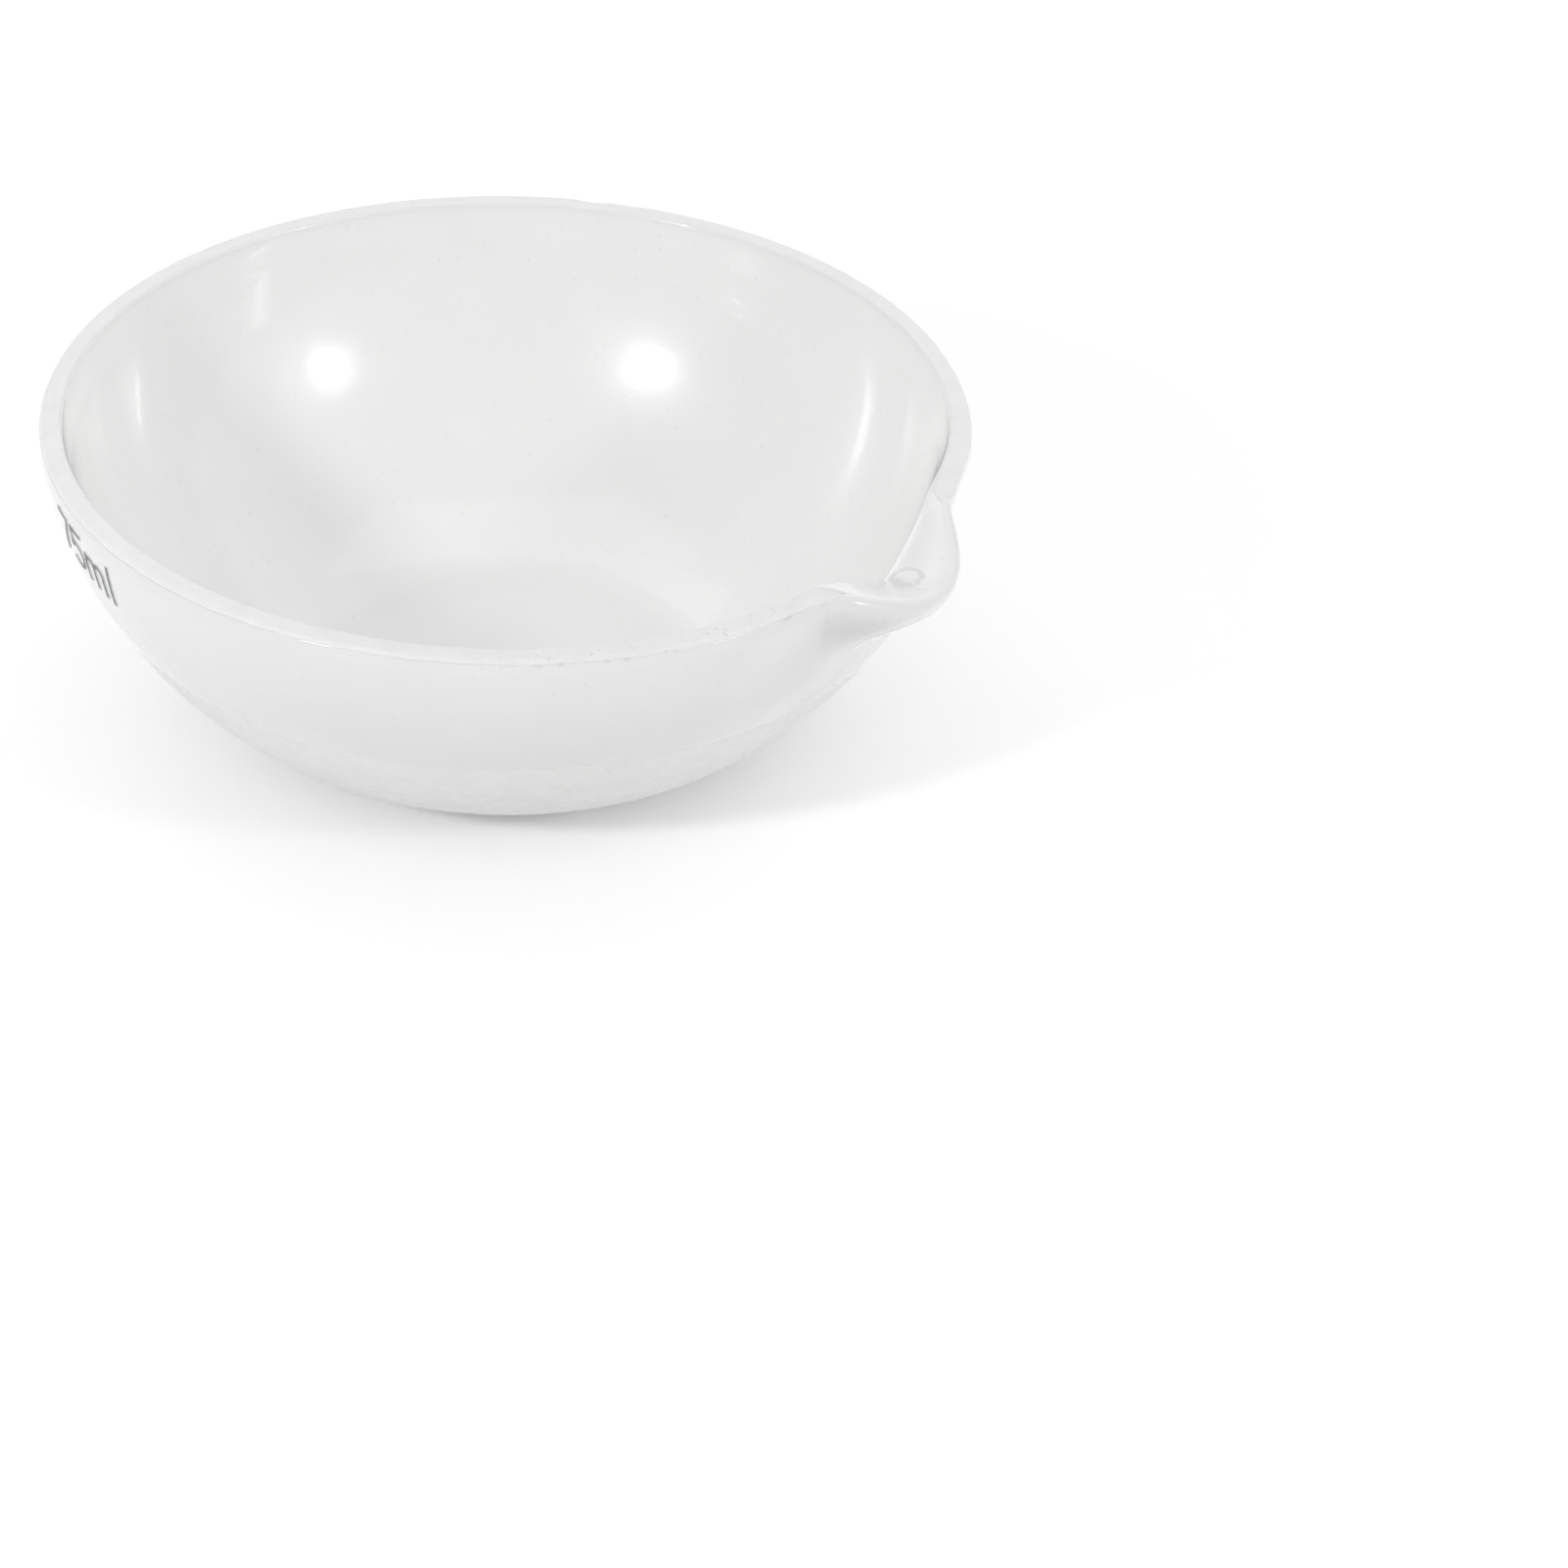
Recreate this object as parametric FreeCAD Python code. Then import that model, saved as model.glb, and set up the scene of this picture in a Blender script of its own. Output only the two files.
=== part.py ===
import FreeCAD, Part
import math
import os

# Evaporating dish of 75 ml: a thin porcelain bowl with a flat base, a bare rim and one pouring spout.
# Millimetres, +Z up. The origin is the centre of the flat underside, and the spout points along +X.
#
# The wall's section is one line of arcs, followed from the base, up the outside, over the rim and down
# the inside to the floor. "Along" is the distance covered on that line. The spout pushes the same
# section outwards and downwards, so every node is cut from one shape and they meet face to face.

# Biscuit shell
RIM_RADIUS = 39.75          # outside of the bare rim
HEIGHT = 28.0               # underside to rim
BASE_RADIUS = 13.5          # flat underside
WALL = 1.8                  # biscuit at the rim
FLOOR = 2.0                 # biscuit at the centre
FLOOR_RADIUS = 12.5         # flat of the inside
RIM_LEAN = 8.0              # wall from the vertical at the rim, degrees
KNUCKLE_LEAN = 50.0         # the same where the wall meets the knuckle of the base
OUTER_ROUND = 0.6
INNER_ROUND = 0.25

# Spout: the inner edge dips in a rounded V, and the lip bulges out in a rounder curve
DIP_HALF_ANGLE = 16.0       # where the inner edge starts to dip, degrees from the spout's middle
DIP_SHAPE = (1.2, 1.7)      # sharpness of its bottom and softness of its shoulders, as powers
INNER_DIP = 4.0             # drop of the inner edge
INNER_PULL = 0.3            # how far the inner edge is drawn in at the same place
LIP_HALF_ANGLE = 12.3       # where the lip starts to bulge on the +Y side
WIDE_HALF_ANGLE = 15.0      # the same on the -Y side, pressed a little wider by hand
LIP_SHAPE = (2.1, 1.4)
LIP_DIP = 2.7               # drop of the lip
LIP_REACH = 3.6             # how far the lip stands out beyond the rim
TROUGH_SAG = 0.35           # hollow of the trough between its two edges
LIP_FADE = 8.4              # length of outer wall that the lip draws out
INNER_FADE = 10.0           # length of inner wall that the dip pulls down
TROUGH_HALF_ANGLE = 11.0    # the trough is glazed between these angles, the rest of the rim is bare

# Dents that the fingers leave in the wall on each side of the spout
DENT = 0.75                 # how far the wall is pressed in
DENT_ANGLE = 19.8           # middle of a dent, degrees from the spout's middle
DENT_WIDTH = 7.0            # degrees
DENT_DEPTH = 4.0            # its middle below the rim
DENT_HEIGHT = 4.5

# Glaze
GLAZE = 0.25
GLAZE_LINE = 13.4           # length of outer wall that is glazed

# Capacity mark, "75ml" in plain strokes
INK = 0.08
MARK_AZIMUTH = 239.5        # middle of the mark, degrees from the spout
MARK_DEPTH = 6.1            # its baseline below the rim
MARK_TILT = -6.0            # the line of the mark falls to the right
CAP_HEIGHT = 4.2
X_HEIGHT = 3.0
STROKE = 0.38
DIGIT_WIDTH = 2.2
M_WIDTH = 3.2
BOWL_RADIUS = 1.2           # the round stroke of the 5
BOWL_ARC = (-145.0, 138.0)  # from its tail to its start, degrees
SEVEN_X = -3.7              # middles of the glyphs from the middle of the mark
FIVE_X = -0.95
M_X = 2.15
L_X = 4.75
LAYER_HALF_ANGLE = 12.0     # the glyphs are cut from a layer of this half width, in degrees
LAYER_DEPTH = 9.0           # and of this depth below the rim

# Sampling of the surfaces
ZONES = ((18.0, 1.5), (42.0, 3.0), (180.0, 11.5))   # up to this angle from the spout, this step
NORMAL_STEP = 1e-3


def two_arcs(rim_radius, rim_z, flat_radius, flat_z):
    """Wall section under the rim: an upper arc and a tangent knuckle arc that ends level."""
    lean = math.radians(RIM_LEAN)
    knuckle_lean = math.radians(KNUCKLE_LEAN)
    across = rim_radius - flat_radius
    down = rim_z - flat_z
    upper_across = math.cos(lean) - math.cos(knuckle_lean)
    upper_down = math.sin(knuckle_lean) - math.sin(lean)
    lower_across = math.cos(knuckle_lean)
    lower_down = 1.0 - math.sin(knuckle_lean)
    both = upper_across * lower_down - upper_down * lower_across
    upper = (across * lower_down - down * lower_across) / both
    knuckle = (down * upper_across - across * upper_down) / both
    upper_length = upper * (knuckle_lean - lean)
    length = upper_length + knuckle * (math.pi / 2.0 - knuckle_lean)

    def at(depth):
        if depth <= upper_length:
            turn = lean + depth / upper
            r = rim_radius - upper * (math.cos(lean) - math.cos(turn))
            return r, rim_z - upper * (math.sin(turn) - math.sin(lean))
        if depth <= length:
            turn = knuckle_lean + (depth - upper_length) / knuckle
            return flat_radius + knuckle * math.cos(turn), flat_z + knuckle * (1.0 - math.sin(turn))
        return flat_radius - (depth - length), flat_z

    return at, length


# The rim's two rounds: centres, end angles and lengths
OUTER_CENTRE = RIM_RADIUS - OUTER_ROUND
INNER_CENTRE = RIM_RADIUS - WALL + INNER_ROUND
OUTER_END = math.radians(90.0 + RIM_LEAN)
INNER_END = math.radians(90.0 - RIM_LEAN)
BAND = OUTER_CENTRE - INNER_CENTRE

outer_at, OUTER_LENGTH = two_arcs(
    OUTER_CENTRE + OUTER_ROUND * math.sin(OUTER_END),
    HEIGHT - OUTER_ROUND * (1.0 - math.cos(OUTER_END)),
    BASE_RADIUS,
    0.0,
)
inner_at, INNER_LENGTH = two_arcs(
    INNER_CENTRE - INNER_ROUND * math.sin(INNER_END),
    HEIGHT - INNER_ROUND * (1.0 - math.cos(INNER_END)),
    FLOOR_RADIUS,
    FLOOR,
)

# Borders between the rows of the section, as distances along it
BASE_EDGE = 0.0
GLAZE_EDGE = OUTER_LENGTH - GLAZE_LINE
WALL_TOP = OUTER_LENGTH
BAND_OUTSIDE = WALL_TOP + OUTER_ROUND * OUTER_END
BAND_INSIDE = BAND_OUTSIDE + BAND
INSIDE_TOP = BAND_INSIDE + INNER_ROUND * INNER_END
FLOOR_EDGE = INSIDE_TOP + INNER_LENGTH

# Rows: from, to, number of samples
ROWS = {
    "outer_bare": (BASE_EDGE, GLAZE_EDGE, 15),
    "outer_wall": (GLAZE_EDGE, WALL_TOP, 17),
    "outer_round": (WALL_TOP, BAND_OUTSIDE, 8),
    "band": (BAND_OUTSIDE, BAND_INSIDE, 6),
    "inner_round": (BAND_INSIDE, INSIDE_TOP, 7),
    "inner_wall": (INSIDE_TOP, FLOOR_EDGE, 25),
}
ROW_ORDER = list(ROWS)
TROUGH = math.radians(TROUGH_HALF_ANGLE)
SECTORS = {"spout": (-TROUGH, TROUGH), "ring": (TROUGH, 2.0 * math.pi - TROUGH)}


def plain_section(along):
    """Radius and height away from the spout, with the share of the way across the rim."""
    if along <= WALL_TOP:
        return *outer_at(WALL_TOP - along), 1.0
    if along <= BAND_OUTSIDE:
        angle = (BAND_OUTSIDE - along) / OUTER_ROUND
        r = OUTER_CENTRE + OUTER_ROUND * math.sin(angle)
        share = 1.0 - OUTER_ROUND / WALL * (1.0 - math.sin(angle / OUTER_END * math.pi / 2.0))
        return r, HEIGHT - OUTER_ROUND * (1.0 - math.cos(angle)), share
    if along <= BAND_INSIDE:
        r = OUTER_CENTRE - (along - BAND_OUTSIDE)
        return r, HEIGHT, (r - RIM_RADIUS + WALL) / WALL
    if along <= INSIDE_TOP:
        angle = (along - BAND_INSIDE) / INNER_ROUND
        r = INNER_CENTRE - INNER_ROUND * math.sin(angle)
        share = INNER_ROUND / WALL * (1.0 - math.sin(angle / INNER_END * math.pi / 2.0))
        return r, HEIGHT - INNER_ROUND * (1.0 - math.cos(angle)), share
    return *inner_at(along - INSIDE_TOP), 0.0


def from_spout(azimuth):
    """Degrees between an azimuth and the middle of the spout, either way."""
    return math.degrees(abs(math.remainder(azimuth, 2.0 * math.pi)))


def swell(azimuth, half_angle, shape):
    """1 in the middle of the spout, 0 from half_angle on."""
    part = min(from_spout(azimuth) / half_angle, 1.0)
    return (1.0 - part ** shape[0]) ** shape[1]


def fade(depth, length):
    """1 at the rim, 0 from length on, level at both ends."""
    part = min(max(depth / length, 0.0), 1.0)
    return (1.0 - part) ** 2 * (1.0 + 2.0 * part)


def dent(along, azimuth):
    """How far the wall is pressed in beside the spout."""
    depth = max(WALL_TOP - along, along - INSIDE_TOP, 0.0)
    beside = math.exp(-(((from_spout(azimuth) - DENT_ANGLE) / DENT_WIDTH) ** 2))
    return DENT * beside * math.exp(-(((depth - DENT_DEPTH) / DENT_HEIGHT) ** 2))


def section(along, azimuth):
    """Radius and height of the biscuit's section at an azimuth, spout included."""
    r, z, share = plain_section(along)
    lip_half_angle = LIP_HALF_ANGLE if math.sin(azimuth) > 0.0 else WIDE_HALF_ANGLE
    lip = swell(azimuth, lip_half_angle, LIP_SHAPE) * fade(WALL_TOP - along, LIP_FADE)
    dip = swell(azimuth, DIP_HALF_ANGLE, DIP_SHAPE) * fade(along - INSIDE_TOP, INNER_FADE)
    out = share * LIP_REACH * lip - (1.0 - share) * INNER_PULL * dip - dent(along, azimuth)
    down = share * LIP_DIP * lip + (1.0 - share) * INNER_DIP * dip
    sag = 4.0 * share * (1.0 - share) * TROUGH_SAG * dip
    return r + out, z - down - sag


def biscuit_point(along, azimuth):
    r, z = section(along, azimuth)
    return FreeCAD.Vector(r * math.cos(azimuth), r * math.sin(azimuth), z)


def point(along, azimuth, lift):
    """A point that stands off the biscuit by lift, square to its surface."""
    at = biscuit_point(along, azimuth)
    if not lift:
        return at
    turn = NORMAL_STEP / RIM_RADIUS
    up = biscuit_point(along + NORMAL_STEP, azimuth) - biscuit_point(along - NORMAL_STEP, azimuth)
    around = biscuit_point(along, azimuth + turn) - biscuit_point(along, azimuth - turn)
    return at + around.cross(up).normalize() * lift


def azimuths():
    """Section angles over one turn: close together at the spout, wider round the rest."""
    half = [0.0]
    for limit, step in ZONES:
        count = math.ceil((limit - half[-1]) / step)
        last = half[-1]
        half += [last + (limit - last) * (i + 1) / count for i in range(count)]
    nearest = min(half, key=lambda angle: abs(angle - TROUGH_HALF_ANGLE))
    half[half.index(nearest)] = TROUGH_HALF_ANGLE
    return [math.radians(a) for a in [-angle for angle in half[:0:-1]] + half]


AZIMUTHS = azimuths()


def through(points, parameters, closed=False):
    curve = Part.BSplineCurve()
    curve.interpolate(Points=points, Parameters=parameters, PeriodicFlag=closed)
    return curve


def surface(row, lift=0.0):
    """Closed surface of one row of the section, u round the bowl and v along the section."""
    low, high, count = ROWS[row]
    along = [low + (high - low) * i / (count - 1) for i in range(count)]
    columns = []
    for azimuth in AZIMUTHS[:-1]:
        strip = through([point(a, azimuth, lift) for a in along], along)
        columns.append(strip.getPoles())
    rounds = [through(list(ring), AZIMUTHS, closed=True) for ring in zip(*columns)]
    nets = [ring.getPoles() for ring in rounds]
    built = Part.BSplineSurface()
    built.buildFromPolesMultsKnots(
        [list(net) for net in zip(*nets)],
        rounds[0].getMultiplicities(),
        strip.getMultiplicities(),
        rounds[0].getKnots(),
        strip.getKnots(),
        True,
        False,
        rounds[0].Degree,
        strip.Degree,
    )
    return built


SURFACES = {(row, lift): surface(row, lift) for row in ROWS for lift in (0.0, GLAZE)}


def patch(row, sector, lift=0.0):
    low, high, _ = ROWS[row]
    return SURFACES[row, lift].toShape(*SECTORS[sector], low, high)


def edge_round(row, along, sector, lift=0.0):
    """Edge that runs round the bowl at one distance along the section."""
    return SURFACES[row, lift].vIso(along).toShape(*SECTORS[sector])


def edge_along(row, azimuth, lift=0.0):
    """Edge that runs along the section at one azimuth."""
    low, high, _ = ROWS[row]
    return SURFACES[row, lift].uIso(azimuth).toShape(low, high)


def disc(row, along, lift=0.0):
    """Flat face inside a level ring of the section."""
    return Part.Face(Part.Wire([edge_round(row, along, sector, lift) for sector in SECTORS]))


def solid_of(faces):
    shell = Part.Shell(faces)
    shell.sewShape()
    solid = Part.Solid(Part.Shell(shell.Faces))
    if solid.Volume < 0.0:
        solid.reverse()
    return solid


def porcelain_body():
    faces = [patch(row, sector) for row in ROWS for sector in SECTORS]
    faces.append(disc("outer_bare", BASE_EDGE))
    faces.append(disc("inner_wall", FLOOR_EDGE))
    return solid_of(faces)


def coat(patches, ends_at_floor):
    """Glaze on the given patches of the biscuit, closed along its free edges."""
    faces = []
    for row, sector in patches:
        faces += [patch(row, sector), patch(row, sector, GLAZE)]
        place = ROW_ORDER.index(row)
        low, high, _ = ROWS[row]
        if (ROW_ORDER[place - 1], sector) not in patches:
            faces.append(rib(edge_round(row, low, sector), edge_round(row, low, sector, GLAZE)))
        last = place + 1 == len(ROW_ORDER)
        if not last and (ROW_ORDER[place + 1], sector) not in patches:
            faces.append(rib(edge_round(row, high, sector), edge_round(row, high, sector, GLAZE)))
        if sector == "spout" and (row, "ring") not in patches:
            for azimuth in SECTORS["spout"]:
                faces.append(rib(edge_along(row, azimuth), edge_along(row, azimuth, GLAZE)))
    if ends_at_floor:
        faces += [disc("inner_wall", FLOOR_EDGE), disc("inner_wall", FLOOR_EDGE, GLAZE)]
    return solid_of(faces)


def rib(back, front):
    """Narrow face that closes a coat between its back and its front."""
    return Part.makeRuledSurface(back, front)


def inner_glaze():
    return coat(
        [
            ("band", "spout"),
            ("inner_round", "spout"),
            ("inner_wall", "spout"),
            ("inner_wall", "ring"),
        ],
        ends_at_floor=True,
    )


def outer_glaze():
    return coat(
        [("outer_wall", "spout"), ("outer_wall", "ring"), ("outer_round", "spout")],
        ends_at_floor=False,
    )


# Mark: each glyph is flat, x to the right and y up from the baseline, x = 0 in the glyph's middle


def bar(x0, y0, x1, y1, width=STROKE):
    """Straight stroke between two points of its centre line."""
    length = math.hypot(x1 - x0, y1 - y0)
    side_x = -(y1 - y0) / length * width / 2.0
    side_y = (x1 - x0) / length * width / 2.0
    corners = [
        (x0 + side_x, y0 + side_y),
        (x1 + side_x, y1 + side_y),
        (x1 - side_x, y1 - side_y),
        (x0 - side_x, y0 - side_y),
    ]
    points = [FreeCAD.Vector(x, y, 0.0) for x, y in corners]
    return Part.Face(Part.makePolygon(points + points[:1]))


def bow(x, y, radius, start, end, width=STROKE):
    """Round stroke about (x, y), from one angle to another, in degrees."""
    centre = FreeCAD.Vector(x, y, 0.0)
    up = FreeCAD.Vector(0.0, 0.0, 1.0)
    outside = Part.makeCircle(radius + width / 2.0, centre, up, start, end)
    inside = Part.makeCircle(radius - width / 2.0, centre, up, start, end)
    ends = [
        Part.makeLine(inside.valueAt(inside.LastParameter), outside.valueAt(outside.LastParameter)),
        Part.makeLine(outside.valueAt(outside.FirstParameter), inside.valueAt(inside.FirstParameter)),
    ]
    return Part.Face(Part.Wire([outside, ends[0], inside, ends[1]]))


def seven():
    top = CAP_HEIGHT - STROKE / 2.0
    right = DIGIT_WIDTH / 2.0
    foot = -DIGIT_WIDTH / 4.0
    return [bar(-right, top, right, top), bar(right - STROKE / 2.0, CAP_HEIGHT - STROKE, foot, 0.0)]


def five():
    top = CAP_HEIGHT - STROKE / 2.0
    right = DIGIT_WIDTH / 2.0
    left = STROKE / 2.0 - right
    middle = BOWL_RADIUS + STROKE / 2.0
    centre = right - middle
    bowl_top = middle + BOWL_RADIUS / 2.0
    return [
        bar(-right, top, right, top),
        bar(left, CAP_HEIGHT, left, bowl_top),
        bow(centre, middle, BOWL_RADIUS, *BOWL_ARC),
    ]


def letter_m():
    half = (M_WIDTH - STROKE) / 2.0
    radius = half / 2.0
    shoulder = X_HEIGHT - radius - STROKE / 2.0
    stems = [bar(-half, 0.0, -half, X_HEIGHT), bar(0.0, 0.0, 0.0, shoulder), bar(half, 0.0, half, shoulder)]
    return stems + [bow(x, shoulder, radius, 0.0, 180.0) for x in (-radius, radius)]


def letter_l():
    return [bar(0.0, 0.0, 0.0, CAP_HEIGHT)]


def ink_layer():
    """One layer of ink on a piece of the outer glaze that is larger than the mark."""
    turn = (math.radians(MARK_AZIMUTH - LAYER_HALF_ANGLE), math.radians(MARK_AZIMUTH + LAYER_HALF_ANGLE))
    climb = (WALL_TOP - LAYER_DEPTH, WALL_TOP)
    layers = [SURFACES["outer_wall", GLAZE], surface("outer_wall", GLAZE + INK)]
    faces = [layer.toShape(*turn, *climb) for layer in layers]
    faces += [rib(*[layer.vIso(along).toShape(*turn) for layer in layers]) for along in climb]
    faces += [rib(*[layer.uIso(side).toShape(*climb) for layer in layers]) for side in turn]
    return solid_of(faces)


INK_LAYER = ink_layer()


def on_wall(strokes, x):
    """Ink of one glyph, x to the right of the mark's middle, wrapped on the outer wall."""
    blocks = [stroke.extrude(FreeCAD.Vector(0.0, 0.0, RIM_RADIUS)) for stroke in strokes]
    block = blocks[0]
    if len(blocks) > 1:
        block = block.fuse(blocks[1:]).removeSplitter()
    centre = FreeCAD.Vector()
    upright = FreeCAD.Vector(0.0, 0.0, 1.0)
    block.translate(FreeCAD.Vector(x, 0.0, 0.0))
    block.rotate(centre, upright, MARK_TILT)
    block.rotate(centre, FreeCAD.Vector(1.0, 0.0, 0.0), 90.0)
    block.translate(FreeCAD.Vector(0.0, -RIM_RADIUS / 2.0, HEIGHT - MARK_DEPTH))
    block.rotate(centre, upright, MARK_AZIMUTH + 90.0)
    return block.common(INK_LAYER)


def main():
    nodes = {
        "porcelain_body": porcelain_body(),
        "inner_glaze": inner_glaze(),
        "outer_glaze": outer_glaze(),
        "mark_7": on_wall(seven(), SEVEN_X),
        "mark_5": on_wall(five(), FIVE_X),
        "mark_m": on_wall(letter_m(), M_X),
        "mark_l": on_wall(letter_l(), L_X),
    }
    os.makedirs("parts", exist_ok=True)
    for name, shape in nodes.items():
        if shape.isNull() or not shape.isValid() or not shape.Solids:
            raise ValueError(f"{name} isn't a valid solid")
        shape.exportStep(f"parts/{name}.step")
        print(name, len(shape.Solids), "solid", round(shape.Volume, 2), "mm3")


main()
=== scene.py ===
import math

import bpy
import numpy as np
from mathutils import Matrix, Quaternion, Vector


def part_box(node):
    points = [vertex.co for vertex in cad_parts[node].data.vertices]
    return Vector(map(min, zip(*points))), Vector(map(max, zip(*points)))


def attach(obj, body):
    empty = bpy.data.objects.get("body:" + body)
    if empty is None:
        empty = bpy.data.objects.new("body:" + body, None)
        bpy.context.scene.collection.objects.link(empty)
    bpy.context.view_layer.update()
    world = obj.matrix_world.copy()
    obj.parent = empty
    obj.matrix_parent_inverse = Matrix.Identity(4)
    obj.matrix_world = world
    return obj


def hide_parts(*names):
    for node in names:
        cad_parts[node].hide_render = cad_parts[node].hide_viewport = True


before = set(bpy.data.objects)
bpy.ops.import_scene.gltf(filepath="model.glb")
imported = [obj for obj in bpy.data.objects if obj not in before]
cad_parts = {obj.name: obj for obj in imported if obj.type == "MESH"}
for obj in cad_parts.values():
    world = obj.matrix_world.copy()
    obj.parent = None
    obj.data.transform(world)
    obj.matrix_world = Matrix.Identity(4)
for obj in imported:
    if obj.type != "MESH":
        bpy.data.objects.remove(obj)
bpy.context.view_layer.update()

# Evaporating dish of 75 ml. Millimetres are used for the shape and turned into metres when a mesh is made.
MM = 0.001

# The biscuit's section, the same line of arcs as in the CAD model
RIM_RADIUS = 39.75
HEIGHT = 28.0
BASE_RADIUS = 13.5
WALL = 1.8
FLOOR = 2.0
FLOOR_RADIUS = 12.5
RIM_LEAN = 8.0
KNUCKLE_LEAN = 50.0
OUTER_ROUND = 0.6
INNER_ROUND = 0.25

# Spout
DIP_HALF_ANGLE = 16.0
DIP_SHAPE = (1.2, 1.7)
INNER_DIP = 4.0
INNER_PULL = 0.3
LIP_HALF_ANGLE = 12.3
WIDE_HALF_ANGLE = 15.0
LIP_SHAPE = (2.1, 1.4)
LIP_DIP = 2.7
LIP_REACH = 3.6
TROUGH_SAG = 0.35
LIP_FADE = 8.4
INNER_FADE = 10.0
TROUGH_HALF_ANGLE = 11.0
DENT = 0.75
DENT_ANGLE = 19.8
DENT_WIDTH = 7.0
DENT_DEPTH = 4.0
DENT_HEIGHT = 4.5

# Glaze
GLAZE = 0.25
GLAZE_LINE = 13.4

# Lightness of the surfaces: the light that the body scatters back through its glaze. The outer glaze, its
# foot and the bare lower wall are set darker than the inside, though the body is the same: painted shade.
INSIDE_TONE = 0.803
RIM_TONE = 0.73
# Painted shade: the outer glaze is the same as the inner one, set darker
OUTSIDE_SHADED_TONE = 0.648
LOW_SHADED_TONE = 0.59             # the glaze at the foot of the wall, set darker still: painted shade
# Painted shade: the bare lower wall is set darker than the bare rim
BARE_SHADED_TONE = 0.67
TONE = "tone"
BLUE_SHARE = 0.995

# Shades on these surfaces, as shares of that lightness
EDGE_TONE = 0.97            # a fine dark line where the glaze of the bowl ends
WORN_TONE = 0.95            # the worn side of the rim
CHIP_TONE = 0.78            # the small chips in the glaze there
CHIP_SPACING = 0.9
CHIP_END = (0.05, 0.4)      # they fade out between these distances below the edge of the glaze
TROUGH_SHADE_TONE = 0.92          # painted shade on the glaze in the trough of the spout, which faces up into more light
CREASE_HIGHLIGHT_TONE = 1.22          # painted highlight along the rounded inner edge of the spout
CREASE_CLIMB = 0.08         # middle of this line above the top of the inner wall
CREASE_WIDTH = 0.1
DROP_AND_LIP_SHADE_TONE = 0.79            # painted shade under the lip, where it hangs over the wall, and a painted dark outline round the drop for the dark edge of the reflection in it
UNDER_LIP_SHADE_ANGLE = 10.5           # the painted shade under the lip, degrees from the spout's middle
UNDER_LIP_SHADE_WIDTH = 4.5            # degrees
UNDER_LIP_SHADE_DEPTH = 2.8            # below the top of the wall
UNDER_LIP_SHADE_HEIGHT = 2.2
OUTLINE_WIDTH = 0.14        # the painted dark outline round the drop, as a share of the drop's size

# Fine shape that the CAD model leaves out. A pair is a height and the length of its waves.
SEED = 75
SINK = 0.06                 # how far hidden faces lie inside the piece below them
GLAZE_RIPPLE = (0.009, 6.0)  # unevenness of the glaze
LINE_WANDER = (0.45, 22.0)  # how far the lower edge of the outer glaze wanders
LINE_WAVES = (0.12, 5.0)    # the shorter waves in it
EDGE_WANDER = (0.04, 3.0)   # how far the edges of the glaze at the rim wander
TURNING = (0.012, 1.1)      # turning lines on the bare wall and base
BARE_GRAIN = (0.006, 0.9)   # grain between them
RIM_GRAIN = (0.0072, 1.1)   # fine roughness of the bare rim
RIM_WAVES = (0.0048, 4.0)   # its longer waves
NICK = 0.16                 # depth of the worn place in the rim
NICK_AT = 112.0
NICK_WIDTH = 1.7
WORN_SIDE = -36.0           # azimuth where the rim is most pitted
WALL_CENTRE = 35.0          # the upper wall faces away from about this height on the axis

# Edges of the glaze, as lengths along the section
THIN_EDGE = 0.3             # how thick the glaze is at its edges at the rim, as a share
EDGE_ROUND = 0.3            # the round of these edges
SWELL_START = 0.1           # past this it swells to the full coat
INNER_SWELL = 3.5           # as far as this inside
OUTER_SWELL = 1.1           # and this outside
LOW_THIN_EDGE = 0.35        # the share at the lower edge of the outer glaze
LOW_EDGE_ROUND = 0.4        # the round of that edge
LOW_SWELL = 4.0             # and where its swell ends
INNER_CLIMB = 0.08          # how far the inner glaze climbs on the rounded inner edge
OUTER_CLIMB = 0.2           # how far the outer glaze climbs on the rounded outer edge
LAP_START = 0.25            # at the spout the inner glaze starts here, above the top of the wall
LAP_END = 0.6               # and the outer glaze ends here, past the rounded outer edge
LAP_SINK = 0.12             # how far its end lies under the inner glaze
LAP_THIN = 0.03             # the inner glaze starts this much thinner there
LAP_GAIN = 0.045            # and gains this much
LAP_LENGTH = 2.2            # over this length
LEVEL_AFTER = 7.0           # the rows of the inner glaze run level from here on
LAST_RING = 0.6             # radius of the last of them, round the middle of the floor

# Drop of glaze that set in the trough
BEAD = 0.42
BEAD_AT = (39.4, 0.7)
BEAD_SIZE = (1.35, 1.05)
BEAD_TURN = 27.0
BEAD_SHAPE = 0.8            # roundness of its top, as a power
BEAD_BELOW_RIM = 5.0        # it lies no deeper than this

# Columns of the meshes, in degrees
SPOUT_COLUMNS = 24.0        # they are close together this far from the spout's middle
SPOUT_STEP = 0.25
BOWL_STEP = 0.6
TROUGH_TAPER = (-1.5, 4.5)  # the glaze leaves the rim between these, past the trough's half angle


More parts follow.
